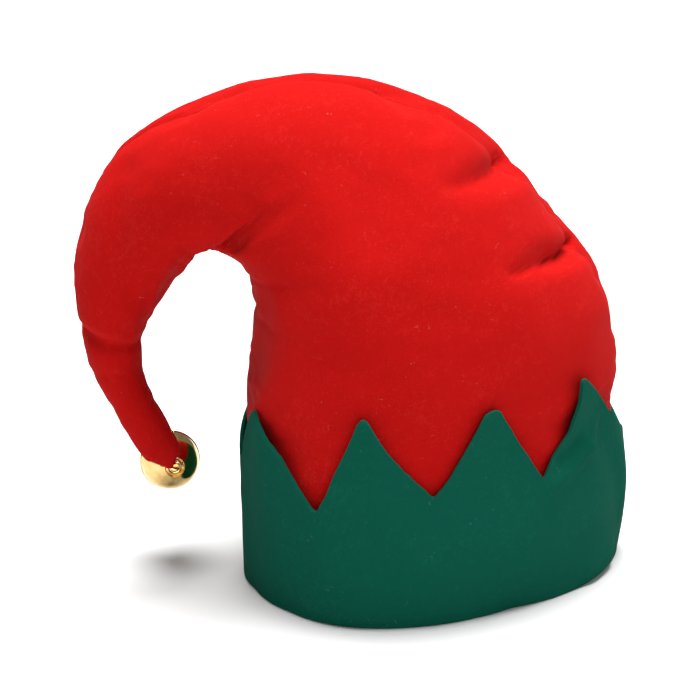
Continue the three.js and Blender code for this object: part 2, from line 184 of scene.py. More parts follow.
# Soft ridges and dents of the cuff's wall: turn and height, to turn and height, how far each stands
# out and its width, all in mm but the turns.
CUFF_RIDGES = (
    (38, 67, 55, 80, 2.4, 5.5),
    (55, 80, 59, 93, 1.5, 6),
    (41, 80, 50, 86, -2.2, 6),
    (57, 6, 68, 9, 3.0, 13),
    (-80, 50, -78, 20, 1.2, 12),
    (76, 66, 80, 30, 1.4, 10),
    (-52, 10, -44, 30, -1.4, 12),
    (-30, 4, -20, 22, 1.0, 12),
    (4, 40, 16, 10, -0.8, 16),
    (150, 50, 160, 10, -1.2, 16),
    (215, 40, 225, 8, 1.0, 14),
)
CUFF_EASE = 0.5 * MM
HEM_HEIGHT = 14 * MM
HEM_ROUNDING = 1.2 * MM
LIP = 0.45 * MM  # rounding of the cuff's cut edge

BELL_RADIUS = 16 * MM
BELL_WALL = 0.8 * MM
SEAM_HEIGHT = 1.6 * MM  # width of the crimped seam round the bell
SEAM_PROUD = 0.5 * MM
SLOT_WIDTH = 2 * MM
SLOT_REACH = 52  # degrees from the foot of the bell to each end of a slot
SLOT_EYE = 5 * MM  # diameter of the round hole at each end of a slot
WIRE = 1.5 * MM
LOOP_WIDTH = 6 * MM
LOOP_HEIGHT = 6.5 * MM
FOOT_REACH = 2.6 * MM  # how far each leg of the loop is spread under the bell's wall
BELL_BEHIND = 18.6 * MM  # from the middle of the crown's point back to the middle of the bell
BELL_TURN = 14  # degrees that the bell's top is turned to the right from facing front
BELL_TILT = 6  # degrees that it is tipped up
BELL_ROLL = 33
LOOP_ROLL = -18  # the wire loop's own turn about the bell's axis
LOOP_LEAN = 50  # the wire loop is folded up against the felt
THREAD = 0.45 * MM
BELL_PLACE = (-0.717, 0.192)  # x and z, as in the table of sections

CAMERA_AIM = Vector((-3.92, 2.462, 120.45)) * MM
CAMERA_RISE = math.radians(20)
CAMERA_AWAY = 1.3


# ---------------------------------------------------------------- materials
def felt_material(name, deep, mid, light, fuzz, gloss):
    """Wool felt: matted colour of three close shades, short stray fibres in the relief, soft sheen."""
    material = bpy.data.materials.new(name)
    material.use_nodes = True
    tree = material.node_tree
    shader = tree.nodes["Principled BSDF"]
    place = tree.nodes.new("ShaderNodeTexCoord").outputs["Object"]

    def noise(scale, detail, roughness=0.6, distortion=0.0):
        node = tree.nodes.new("ShaderNodeTexNoise")
        node.inputs["Scale"].default_value = scale
        node.inputs["Detail"].default_value = detail
        node.inputs["Roughness"].default_value = roughness
        node.inputs["Distortion"].default_value = distortion
        tree.links.new(place, node.inputs["Vector"])
        return node.outputs["Fac"]

    def blend(first, second, factor):
        node = tree.nodes.new("ShaderNodeMath")
        node.operation = "MULTIPLY_ADD"
        tree.links.new(second, node.inputs[0])
        node.inputs[1].default_value = factor
        tree.links.new(first, node.inputs[2])
        return node.outputs[0]

    matted = blend(noise(700, 4, 0.7, 1.2), noise(28, 2), 0.35)
    matted = blend(matted, noise(1900, 3, 0.7, 2.0), 0.4)
    matted = blend(matted, noise(240, 3, 0.6, 0.8), 0.5)
    ramp = tree.nodes.new("ShaderNodeValToRGB")
    ramp.color_ramp.elements[0].position = 0.82
    ramp.color_ramp.elements[0].color = (*deep, 1)
    ramp.color_ramp.elements[1].position = 1.4
    ramp.color_ramp.elements[1].color = (*light, 1)
    middle = ramp.color_ramp.elements.new(1.1)
    middle.color = (*mid, 1)
    tree.links.new(matted, ramp.inputs["Fac"])
    lint = tree.nodes.new("ShaderNodeValToRGB")
    lint.color_ramp.elements[0].position = 0.755
    lint.color_ramp.elements[0].color = (0, 0, 0, 1)
    lint.color_ramp.elements[1].position = 0.80
    lint.color_ramp.elements[1].color = (0.22, 0.22, 0.22, 1)
    tree.links.new(noise(330, 1, 0.5, 1.5), lint.inputs["Fac"])
    specks = tree.nodes.new("ShaderNodeMix")
    specks.data_type = "RGBA"
    specks.inputs[7].default_value = (*[0.12 + 0.9 * part for part in light], 1)
    tree.links.new(lint.outputs["Color"], specks.inputs[0])
    tree.links.new(ramp.outputs["Color"], specks.inputs[6])
    tree.links.new(specks.outputs[2], shader.inputs["Base Color"])

    relief = blend(noise(900, 6, 0.75, 1.5), noise(160, 4), 0.8)
    bump = tree.nodes.new("ShaderNodeBump")
    bump.inputs["Strength"].default_value = 0.55
    bump.inputs["Distance"].default_value = 0.0005
    tree.links.new(relief, bump.inputs["Height"])
    tree.links.new(bump.outputs["Normal"], shader.inputs["Normal"])
    shader.inputs["Roughness"].default_value = 0.95
    shader.inputs["Specular IOR Level"].default_value = gloss
    shader.inputs["Sheen Weight"].default_value = fuzz
    shader.inputs["Sheen Roughness"].default_value = 0.45
    shader.inputs["Sheen Tint"].default_value = (*[0.08 + 0.92 * part for part in light], 1)
    return material


def metal_material(name, colour, dark, roughness, bump_height):
    """Plated metal with faint marks from its spinning and small dulled places."""
    material = bpy.data.materials.new(name)
    material.use_nodes = True
    tree = material.node_tree
    shader = tree.nodes["Principled BSDF"]
    place = tree.nodes.new("ShaderNodeTexCoord").outputs["Object"]
    cloud = tree.nodes.new("ShaderNodeTexNoise")
    cloud.inputs["Scale"].default_value = 260
    cloud.inputs["Detail"].default_value = 5
    tree.links.new(place, cloud.inputs["Vector"])
    ramp = tree.nodes.new("ShaderNodeValToRGB")
    ramp.color_ramp.elements[0].position = 0.3
    ramp.color_ramp.elements[0].color = (*dark, 1)
    ramp.color_ramp.elements[1].position = 0.62
    ramp.color_ramp.elements[1].color = (*colour, 1)
    tree.links.new(cloud.outputs["Fac"], ramp.inputs["Fac"])
    tree.links.new(ramp.outputs["Color"], shader.inputs["Base Color"])
    dull = tree.nodes.new("ShaderNodeMapRange")
    dull.inputs["To Min"].default_value = roughness
    dull.inputs["To Max"].default_value = roughness + 0.12
    tree.links.new(cloud.outputs["Fac"], dull.inputs["Value"])
    tree.links.new(dull.outputs["Result"], shader.inputs["Roughness"])
    fine = tree.nodes.new("ShaderNodeTexNoise")
    fine.inputs["Scale"].default_value = 1800
    tree.links.new(place, fine.inputs["Vector"])
    bump = tree.nodes.new("ShaderNodeBump")
    bump.inputs["Strength"].default_value = 0.15
    bump.inputs["Distance"].default_value = bump_height
    tree.links.new(fine.outputs["Fac"], bump.inputs["Height"])
    tree.links.new(bump.outputs["Normal"], shader.inputs["Normal"])
    shader.inputs["Metallic"].default_value = 1
    return material


def thread_material(name, colour, dark):
    """Twisted sewing thread: plies that wind round it, shown by a fine wave, with painted shade in the
    grooves between them.
    """
    material = bpy.data.materials.new(name)
    material.use_nodes = True
    tree = material.node_tree
    shader = tree.nodes["Principled BSDF"]
    place = tree.nodes.new("ShaderNodeTexCoord").outputs["Object"]
    twist = tree.nodes.new("ShaderNodeTexWave")
    twist.bands_direction = "DIAGONAL"
    twist.inputs["Scale"].default_value = 700
    twist.inputs["Distortion"].default_value = 1.5
    tree.links.new(place, twist.inputs["Vector"])
    ramp = tree.nodes.new("ShaderNodeValToRGB")
    # The dark end of this ramp is painted shade: it falls in the grooves between the plies, where the bump
    # is lowest.
    ramp.color_ramp.elements[0].color = (*dark, 1)
    ramp.color_ramp.elements[1].color = (*colour, 1)
    tree.links.new(twist.outputs["Fac"], ramp.inputs["Fac"])
    tree.links.new(ramp.outputs["Color"], shader.inputs["Base Color"])
    bump = tree.nodes.new("ShaderNodeBump")
    bump.inputs["Distance"].default_value = 0.0001
    tree.links.new(twist.outputs["Fac"], bump.inputs["Height"])
    tree.links.new(bump.outputs["Normal"], shader.inputs["Normal"])
    shader.inputs["Roughness"].default_value = 0.8
    return material


RED_FELT = felt_material(
    "red_felt", deep=(0.25, 0.0020, 0.0016), mid=(0.32, 0.0030, 0.0024), light=(0.40, 0.0090, 0.0072),
    fuzz=0.05, gloss=0.05)
GREEN_FELT = felt_material(
    "green_felt", deep=(0.0014, 0.043, 0.028), mid=(0.0019, 0.058, 0.037), light=(0.0036, 0.080, 0.052),
    fuzz=0.03, gloss=0.03)
GOLD_PLATE = metal_material("gold_plate", (0.74, 0.52, 0.22), (0.58, 0.38, 0.14), 0.08, 0.00002)
PELLET_STEEL = metal_material("pellet_steel", (0.62, 0.60, 0.57), (0.36, 0.34, 0.32), 0.3, 0.00004)
# The thread's second colour is painted shade for the grooves between its plies.
RED_THREAD = thread_material("red_thread", (0.5, 0.02, 0.015), (0.16, 0.004, 0.004))


# ---------------------------------------------------------------- the crown's shape
def column_at(table, column, place):
    """A smooth run of one column of a table: exact on each row, curved between them."""
    values = np.array([row[column] for row in table], float)
    last = len(values) - 1
    row = np.minimum(np.floor(place).astype(int), last - 1)
    a, b, c, d = (values[np.clip(row + step, 0, last)] for step in (-1, 0, 1, 2))
    t = place - row
    return b + 0.5 * t * (c - a + t * (2 * a - 5 * b + 4 * c - d + t * (3 * (b - c) + d - a)))


def crown_section(along):
    """The crown's section at each place along it: middle, direction, half sizes and forward shift."""
    inside = np.stack(
        [column_at(CROWN_SECTIONS, 0, along) * CROWN_WIDTH,
         CROWN_SEAT + column_at(CROWN_SECTIONS, 1, along) * CROWN_HEIGHT], -1)
    outside = np.stack(
        [column_at(CROWN_SECTIONS, 2, along) * CROWN_WIDTH,
         CROWN_SEAT + column_at(CROWN_SECTIONS, 3, along) * CROWN_HEIGHT], -1)
    span = np.linalg.norm(outside - inside, axis=-1)
    return {
        "middle": (inside + outside) / 2,
        "across": (outside - inside) / span[..., None],
        "half_width": span / 2,
        "half_depth": column_at(CROWN_SECTIONS, 4, along) * CROWN_DEPTH / 2,
        "forward": column_at(CROWN_SECTIONS, 5, along) * CROWN_DEPTH,
    }


def pressed_by(folds, along, turn, half_width, share_of=CROWN_HEIGHT):
    """How far a table of folds presses the crown in. Each fades towards its far end."""
    per_turn = half_width * math.pi / 180
    per_section = CROWN_HEIGHT / 9
    pressed = np.zeros(np.shape(along))
    for from_along, from_turn, to_along, to_turn, depth, width in folds:
        aside = (turn - from_turn + 180) % 360 - 180
        offset = np.stack([(along - from_along) * per_section, aside * per_turn], -1)
        run = np.stack(
            [np.full_like(per_turn, (to_along - from_along) * per_section),
             (to_turn - from_turn) * per_turn], -1)
        share = np.clip((offset * run).sum(-1) / (run * run).sum(-1), 0, 1)
        away = np.linalg.norm(offset - run * share[..., None], axis=-1) / (width * share_of)
        pressed += depth * share_of * np.exp(-2 * away * away) * (1 - FOLD_FADE * share)
    return pressed


def crown_point(along, turn, grow=0.0, side=0):
    """Points of the crown's outer face, or of one grown from it by grow."""
    along, turn = np.broadcast_arrays(np.asarray(along, float), np.asarray(turn, float))
    section = crown_section(along)
    angle = np.radians(turn)
    half_width = np.maximum(section["half_width"] + grow, LEAST_HOLLOW)
    half_depth = np.maximum(section["half_depth"] + grow, LEAST_HOLLOW)
    pressed = pressed_by(CROWN_FOLDS, along, turn, section["half_width"])
    pressed = np.minimum(pressed, np.minimum(half_width, half_depth) * DEEPEST_FOLD)
    across = (half_width - pressed) * np.sin(angle)
    like_rim = (2 * section["half_depth"] / CROWN_DEPTH) ** 2 * np.sin(angle)
    fullness = column_at(CROWN_SECTIONS, 6, along)
    round_off = np.sign(np.cos(angle)) * np.abs(np.cos(angle)) ** fullness
    deep = (half_depth - pressed) * round_off * (1 - OPENING_EGG * like_rim)
    front = deep - half_width * OPENING_SKEW * like_rim + side * FIT_GAP / 2
    return np.stack(
        [section["middle"][..., 0] + section["across"][..., 0] * across,
         -(front + section["forward"]),
         section["middle"][..., 1] + section["across"][..., 1] * across], -1) + RIM_MIDDLE


def grid_normals(points, flip):
    """Outward directions of a grid of points."""
    up = np.gradient(points, axis=0)
    along = np.gradient(points, axis=1)
    normal = np.cross(along, up) * flip
    return normal / (np.linalg.norm(normal, axis=-1, keepdims=True) + 1e-12)


def soft_field(points, size, seed):
    """A smooth random height, from -1 to 1, over points in space. size is its grain."""
    flat = points.reshape(-1, 3)
    shift = Vector((seed * 17.3, seed * 5.1, seed * 9.7))
    values = [random_field.noise(Vector(point) / size + shift) for point in flat]
    return np.array(values).reshape(points.shape[:-1])


# ---------------------------------------------------------------- mesh helpers
def deselect():
    """Leaves nothing selected."""
    bpy.ops.object.select_all(action="DESELECT")


def only(piece):
    """Selects one piece alone and makes it the active one."""
    deselect()
    piece.select_set(True)
    bpy.context.view_layer.objects.active = piece


def piece_from(name, points, faces, material):
    """A new object whose mesh lies in place."""
    mesh = bpy.data.meshes.new(name)
    mesh.from_pydata([tuple(p) for p in points], [], faces)
    mesh.validate()
    mesh.polygons.foreach_set("use_smooth", [True] * len(mesh.polygons))
    mesh.materials.append(material)
    piece = bpy.data.objects.new(name, mesh)
    bpy.context.scene.collection.objects.link(piece)
    return piece


def outward(piece):
    """Makes a closed mesh's faces point outwards."""
    work = bmesh.new()
    work.from_mesh(piece.data)
    bmesh.ops.recalc_face_normals(work, faces=work.faces)
    work.to_mesh(piece.data)
    work.free()


def sheet_between(name, outer, inner, material):
    """The closed sheet between an outer and an inner grid of points of the same size."""
    rows, columns = outer.shape[:2]
    points = np.concatenate([outer.reshape(-1, 3), inner.reshape(-1, 3)])
    first = lambda r, c: r * columns + c
    second = lambda r, c: rows * columns + first(r, c)
    faces = []
    for r in range(rows - 1):
        for c in range(columns - 1):
            faces.append((first(r, c), first(r, c + 1), first(r + 1, c + 1), first(r + 1, c)))
            faces.append((second(r, c), second(r + 1, c), second(r + 1, c + 1), second(r, c + 1)))
    for c in range(columns - 1):
        faces.append((first(0, c + 1), first(0, c), second(0, c), second(0, c + 1)))
        end = rows - 1
        faces.append((first(end, c), first(end, c + 1), second(end, c + 1), second(end, c)))
    for r in range(rows - 1):
        side = columns - 1
        faces.append((first(r, 0), first(r + 1, 0), second(r + 1, 0), second(r, 0)))
        faces.append((first(r + 1, side), first(r, side), second(r, side), second(r + 1, side)))
    piece = piece_from(name, points, faces, material)
    outward(piece)
    return piece


# ---------------------------------------------------------------- the crown
TRIAL_ROWS = 118
TRIAL_COLUMNS = 96
TRIAL_FRAMES = 26
MOST_MOVE = 4.5 * MM


def settle_crown():
    """Lets a light copy of the crown's felt settle as cloth. Returns how far each place moves.

    The seams are gathered a little and the panels are cut slightly full, so they pucker."""
    along = np.linspace(0, len(CROWN_SECTIONS) - 1, TRIAL_ROWS)
    turns = -90 + np.arange(TRIAL_COLUMNS) * 360 / TRIAL_COLUMNS
    places, around = np.meshgrid(along, turns, indexing="ij")
    rest = crown_point(places, around)
    at = lambda r, c: r * TRIAL_COLUMNS + c % TRIAL_COLUMNS
    faces = [(at(r, c), at(r, c + 1), at(r + 1, c + 1), at(r + 1, c))
             for r in range(TRIAL_ROWS - 1) for c in range(TRIAL_COLUMNS)]
    trial = piece_from("crown_trial", rest.reshape(-1, 3), faces, RED_FELT)
    held = trial.vertex_groups.new(name="held")
    gathered = trial.vertex_groups.new(name="gathered")
    beside = np.minimum(np.abs(around + 90), np.abs(around - 90))
    beside = np.minimum(beside, np.abs(around - 270))
    low = np.clip((0.075 - rest[..., 2]) / 0.02, 0, 1) * (places < 4)
    end = np.clip((places - 17.2) / 0.6, 0, 1)
    for n, weight in enumerate(np.maximum(np.maximum(low, end), 0.06).ravel()):
        held.add([n], float(weight), "REPLACE")
    for n, weight in enumerate(np.clip(1 - beside.ravel() / 9, 0, 1)):
        gathered.add([n], float(weight), "REPLACE")
    modifier = trial.modifiers.new("felt", "CLOTH")
    felt = modifier.settings
    felt.quality = 7
    felt.mass = 0.25
    felt.tension_stiffness = 25
    felt.compression_stiffness = 25
    felt.shear_stiffness = 12
    felt.bending_stiffness = 0.5
    felt.use_pressure = True
    felt.uniform_pressure_force = 0.5
    felt.vertex_group_mass = held.name
    felt.pin_stiffness = 1
    felt.vertex_group_shrink = gathered.name
    felt.shrink_min = -0.03
    felt.shrink_max = 0.05
    felt.effector_weights.gravity = 0.0
    modifier.collision_settings.use_collision = False
    modifier.point_cache.frame_start = 1
    modifier.point_cache.frame_end = TRIAL_FRAMES
    scene = bpy.context.scene
    for frame_number in range(1, TRIAL_FRAMES + 1):
        scene.frame_set(frame_number)
    settled = trial.evaluated_get(bpy.context.evaluated_depsgraph_get())
    found = np.empty(TRIAL_ROWS * TRIAL_COLUMNS * 3, np.float32)
    settled.data.vertices.foreach_get("co", found)
    scene.frame_set(1)
    bpy.data.objects.remove(trial)
    move = found.reshape(TRIAL_ROWS, TRIAL_COLUMNS, 3).astype(float) - rest
    broad = move.copy()
    for _ in range(30):
        beside_rows = (np.roll(broad, 1, 1) + np.roll(broad, -1, 1)) / 2
        padded_rows = np.concatenate([broad[:1], broad, broad[-1:]])
        broad = (broad + beside_rows + (padded_rows[:-2] + padded_rows[2:]) / 2) / 3
    move = move - broad
    seamward = np.abs(np.sin(np.radians(around))) ** 2
    share = (0.28 + 0.3 * seamward) * np.clip((16 - places) / 4, 0.12, 1)
    move = move * share[..., None]
    far = np.linalg.norm(move, axis=-1, keepdims=True)
    return move * np.minimum(1, MOST_MOVE / np.maximum(far, 1e-9))


def curved_weights(t):
    """The four weights of a smooth curve through a run of values."""
    return (0.5 * t * (-1 + t * (2 - t)), 1 + 0.5 * t * t * (3 * t - 5),
            0.5 * t * (1 + t * (4 - 3 * t)), 0.5 * t * t * (t - 1))


def moved(field, along, turns):
    """The settled felt's movement at places on the crown, curved between those of the trial."""
    row = along / (len(CROWN_SECTIONS) - 1) * (TRIAL_ROWS - 1)
    column = (turns + 90) / 360 * TRIAL_COLUMNS
    first_row, first_column = np.floor(row).astype(int), np.floor(column).astype(int)
    total = 0
    for down, row_weight in zip((-1, 0, 1, 2), curved_weights(row - first_row)):
        for aside, column_weight in zip((-1, 0, 1, 2), curved_weights(column - first_column)):
            rows = np.clip(first_row + down, 0, TRIAL_ROWS - 1)
            columns = (first_column + aside) % TRIAL_COLUMNS
            total = total + (row_weight * column_weight)[..., None] * field[rows, columns]
    return total


ROWS_PER_SECTION = 13
LAST_SECTION = len(CROWN_SECTIONS) - 1


def crown_turns(along, columns=72):
    """The turns of a panel's columns on each row: close together beside the seams."""
    section = crown_section(along)
    near = np.array([0, 0.35, 0.8, 1.3, 1.8, 2.5, 3.6, 5.2]) * MM
    quarter = (section["half_width"] + section["half_depth"]) * math.pi / 4
    fit = np.minimum(1, 0.4 * quarter / near[-1])
    edge = np.degrees(np.arcsin(np.clip(near * fit[:, None] / section["half_depth"][:, None], 0, 0.9)))
    inner = np.linspace(0, 1, columns - 2 * len(near) + 2)[1:-1]
    start, end = -90 + edge[:, -1:], 90 - edge[:, -1:]
    return np.concatenate([-90 + edge, start + (end - start) * inner, (90 - edge)[:, ::-1]], 1)


def crown_panel(name, side, settled):
    """One felt panel of the crown, from seam to seam, its edges turned in at the seams."""
    along = np.linspace(0, LAST_SECTION, LAST_SECTION * ROWS_PER_SECTION + 1)
    turns = crown_turns(along)
    if side < 0:
        turns = 180 - turns
    places = np.broadcast_to(along[:, None], turns.shape)
    outer = crown_point(places, turns, 0, side)
    inner = crown_point(places, turns, -FELT, side)
    normal = grid_normals(outer, side)
    section = crown_section(places)

    steps = np.linalg.norm(np.diff(outer, axis=1), axis=-1)
    run = np.concatenate([np.zeros((len(along), 1)), np.cumsum(steps, axis=1)], 1)
    from_seam = np.minimum(run, run[:, -1:] - run)
    seam_lengths = [
        np.concatenate([[0], np.cumsum(np.linalg.norm(np.diff(seam, axis=0), axis=-1))])[:, None]
        for seam in (outer[:, 0], outer[:, -1])]
    seam_run = np.where(run < run[:, -1:] / 2, *seam_lengths)

    shows = np.clip((outer[..., 2] - 0.045) / 0.02, 0, 1)
    thin = np.clip(section["half_depth"] / 0.02, 0.25, 1)
    relief = -pressed_by(CROWN_CREASES, places, turns, section["half_width"], MM)
    drift = 2.2 * np.sin(seam_run / PUCKER_DRIFT * 2 * math.pi)
    puckers = np.sin(seam_run / PUCKER_PITCH * 2 * math.pi + drift)
    relief += PUCKER_HEIGHT * puckers * np.exp(-(from_seam / PUCKER_REACH) ** 2) * thin
    relief += (1.7 * soft_field(outer, 0.055, 3) + 0.8 * soft_field(outer, 0.026, 5)) * MM * thin
    relief += 0.22 * soft_field(outer, 0.009, 7) * MM * thin
    shift = normal * (relief * shows)[..., None]
    if settled is not None:
        shift = shift + moved(settled, places, turns) * shows[..., None]
    outer = outer + shift
    inner = inner + shift * 0.9
    roll = np.clip(1 - from_seam / SEAM_ROLL, 0, 1)
    groove = SEAM_ROLL * (1 - np.sqrt(1 - roll**2)) * np.clip(section["half_depth"] / 0.008, 0.2, 1)
    outer = outer - normal * groove[..., None]

    # The end of the point closes in a rounded cap.
    tail = outer[-1].mean(0) - outer[-6].mean(0)
    tail /= np.linalg.norm(tail)
    end = outer[-1].mean(0)
    caps = [end + (outer[-1] - end) * math.cos(a) + tail * POINT_CAP * math.sin(a) for a in CAP_ANGLES]
    outer = np.concatenate([outer, np.stack(caps)])
    inner = np.concatenate([inner, np.stack([inner[-1]] * len(caps)) + tail * 1e-5])
    return sheet_between(name, outer, inner, RED_FELT)


# ---------------------------------------------------------------- the cuff
WALL_RINGS = 38


def along_at_height(height):
    """The place along the crown whose section lies at a height, low down where they are level."""
    low, high = np.zeros_like(height), np.full_like(height, 4.0)
    for _ in range(30):
        middle = (low + high) / 2
        below = crown_section(middle)["middle"][..., 1] < height
        low = np.where(below, middle, low)
        high = np.where(below, high, middle)
    return low


def cuff_columns():
    """The cuff's columns, round the hat: turn at the fold, and turn, height and lift at the cut."""
    edge = np.array(CUFF_EDGE + ((CUFF_EDGE[0][0] + 360,) + CUFF_EDGE[0][1:],), float)
    steps = np.hypot(np.diff(edge[:, 0]) * EDGE_MM_PER_DEGREE, np.diff(edge[:, 1]))
    run = np.concatenate([[0], np.cumsum(steps)])
    places = np.arange(0, run[-1] - EDGE_STEP / 2, EDGE_STEP)
    turns, heights, lifts = (np.interp(places, run, edge[:, column]) for column in range(3))
    even = turns[0] + np.arange(len(places)) * 360 / len(places)
    for _ in range(EDGE_ROUNDING):
        heights = (np.roll(heights, 1) + 2 * heights + np.roll(heights, -1)) / 4
        offset = turns - even
        turns = even + (np.roll(offset, 1) + 2 * offset + np.roll(offset, -1)) / 4
    around = np.radians(turns)
    ragged = [random_field.noise(Vector((t * 0.55, 3.1, 0))) * 0.5 for t in turns]
    heights = heights + np.array(ragged)
    lifts = lifts + 0.5 * np.sin(around * 11 + 1) + 0.4 * np.sin(around * 17)
    return even, turns, heights * MM, np.maximum(lifts, 0.5) * MM


def cuff_point(turn, height, grow):
    """A point of the cuff: out from the crown's outer face by grow, at a height above the rim."""
    turn, height, grow = np.broadcast_arrays(turn, height, grow)
    place = along_at_height(np.maximum(height, CROWN_SEAT))
    point = crown_point(place, turn, grow, 0)
    point[..., 2] = height
    return point


def make_cuff():
    """The green cuff: a hem inside the crown, a flat fold under it, and a wall cut into points."""
    even, turns, heights, lifts = cuff_columns()
    level = np.zeros_like(even)
    hem = -(FELT + FIT_GAP + CUFF_EASE)
    fold_out = CUFF_EASE + FIT_GAP + FELT
    bend = np.linspace(0, math.pi / 2, 5)
    rings = [(even, level + HEM_HEIGHT - 0.4 * MM, hem - FELT)]
    rings += [(even, level + z, hem - FELT) for z in (9 * MM, 4 * MM)]
    rings += [(even, level + HEM_ROUNDING * (1 - math.sin(a)),
               hem - FELT + HEM_ROUNDING * (1 - math.cos(a))) for a in bend]
    rings += [(even, level, x) for x in (hem - 0.5 * MM, 0.2 * MM)]
    rings += [(even, level + HEM_ROUNDING * (1 - math.cos(a)),
               fold_out - HEM_ROUNDING * (1 - math.sin(a))) for a in bend]
    wall_shares = np.linspace(0, 1, WALL_RINGS)[1:]

    def wall(share, felt):
        height = (HEM_ROUNDING if felt else FELT) * (1 - share) + (heights - LIP) * share
        turn = even + (turns - even) * share
        swell = 0.7 * np.sin(np.radians(turn) * 7 + 0.6) + 0.5 * np.sin(np.radians(turn) * 12 + 2)
        waves = swell * MM * math.sin(math.pi * min(share * 1.2, 1)) * 0.5 + lifts * share**2
        for from_turn, from_height, to_turn, to_height, proud, width in CUFF_RIDGES:
            aside = ((turn - from_turn + 180) % 360 - 180) * WALL_MM_PER_DEGREE
            run = np.array([(to_turn - from_turn) * WALL_MM_PER_DEGREE, to_height - from_height])
            along = np.clip((aside * run[0] + (height / MM - from_height) * run[1]) / (run @ run), 0, 1)
            away = np.hypot(aside - along * run[0], height / MM - from_height - along * run[1]) / width
            waves = waves + proud * MM * np.exp(-2 * away**2)
        return turn, height, CUFF_EASE + FIT_GAP + felt + np.maximum(waves, -0.4 * MM)

    rings += [wall(share, FELT) for share in wall_shares]
    _, top_height, top_grow = rings[-1]
    inner_top = wall(1, 0)[2]
    rings += [(turns, top_height + LIP * 0.7, top_grow - LIP * 0.3),
              (turns, top_height + LIP, top_grow - LIP),
              (turns, top_height + LIP, inner_top + LIP),
              (turns, top_height + LIP * 0.7, inner_top + LIP * 0.3)]
    rings += [wall(share, 0) for share in wall_shares[::-1]]
    rings += [(even, level + FELT, CUFF_EASE + FIT_GAP), (even, level + FELT, hem)]
    rings += [(even, level + z, hem) for z in (4 * MM, 9 * MM, HEM_HEIGHT - 0.4 * MM)]
    rings += [(even, level + HEM_HEIGHT, hem - 0.4 * MM),
              (even, level + HEM_HEIGHT, hem - FELT + 0.4 * MM)]
    points = np.stack([cuff_point(*ring) for ring in rings])
    count, columns = points.shape[:2]
    at = lambda r, c: (r % count) * columns + c % columns
    faces = [(at(r, c), at(r, c + 1), at(r + 1, c + 1), at(r + 1, c))
             for r in range(count) for c in range(columns)]
    piece = piece_from("cuff_felt", points.reshape(-1, 3), faces, GREEN_FELT)
    outward(piece)
    only(piece)
    bpy.ops.object.shade_smooth_by_angle(angle=math.radians(50))
    return piece


# ---------------------------------------------------------------- the bell
def cut(piece, cutter):
    """Takes the cutter's shape out of the piece and removes the cutter."""
    only(piece)
    boolean = piece.modifiers.new("cut", "BOOLEAN")
    boolean.operation = "DIFFERENCE"
    boolean.solver = "EXACT"
    boolean.object = cutter
    bpy.ops.object.modifier_apply(modifier="cut")
    bpy.data.objects.remove(cutter)


def bell_matrix(own_roll=BELL_ROLL):
    """From the bell upright at the origin, its loop on top, to its place behind the point."""
    forward = CROWN_SECTIONS[-1][5] * CROWN_DEPTH
    place = Vector((BELL_PLACE[0] * CROWN_WIDTH, BELL_BEHIND - forward,
                    CROWN_SEAT + BELL_PLACE[1] * CROWN_HEIGHT)) + Vector(RIM_MIDDLE)
    turn = Matrix.Rotation(math.radians(BELL_TURN), 4, "Z")
    roll = Matrix.Rotation(math.radians(90 - BELL_TILT), 4, "X")
    roll = roll @ Matrix.Rotation(math.radians(own_roll), 4, "Z")
    return Matrix.Translation(place) @ turn @ roll


# The dished top round the loop: out from the bell's axis and up from its ball, in mm.
DIMPLE = ((6.0, 0.0), (5.75, 0.16), (5.45, 0.12), (5.2, -0.35), (5.0, -0.95), (4.7, -1.2), (4.2, -1.22),
          (3.95, -1.0), (3.65, -0.98), (3.4, -1.25), (2.9, -1.42), (2.65, -1.25), (2.4, -1.25), (2.15, -1.5))


def bell_outline():
    """Half of the bell's outline, from the foot up the outside to the top and down the inside."""
    beside = SEAM_HEIGHT / 2
    proud = BELL_RADIUS + SEAM_PROUD
    outline = []
    for angle in np.linspace(0, math.pi, 49):
        x, z = math.sin(angle) * BELL_RADIUS, -math.cos(angle) * BELL_RADIUS
        if abs(z) > beside * 1.05 and not (z > 0 and x < DIMPLE[0][0] * MM + 0.2 * MM):
            outline.append((x, z))
    seam = [(BELL_RADIUS, -beside), (proud - 0.15 * MM, -beside * 0.7), (proud, -beside * 0.45),
            (proud - 0.12 * MM, -beside * 0.08), (proud - 0.12 * MM, beside * 0.08), (proud, beside * 0.45),
            (proud - 0.15 * MM, beside * 0.7), (BELL_RADIUS, beside)]
    below = [p for p in outline if p[1] < 0]
    above = [p for p in outline if p[1] > 0]
    dimple = [(x * MM, math.sqrt(BELL_RADIUS**2 - (x * MM) ** 2) + z * MM) for x, z in DIMPLE]
    top = BELL_RADIUS - 1.5 * MM
    inside = []
    for angle in np.linspace(math.pi, 0, 40):
        radius = BELL_RADIUS - BELL_WALL
        x, z = math.sin(angle) * radius, -math.cos(angle) * radius
        inside.append((x, min(z, top - BELL_WALL)))
    outside = [(0, below[0][1])] + below[1:] + seam + above + dimple + [(0, top)]
    return outside + [(0, inside[0][1])] + inside[1:-1] + [(0, -BELL_RADIUS + BELL_WALL)]


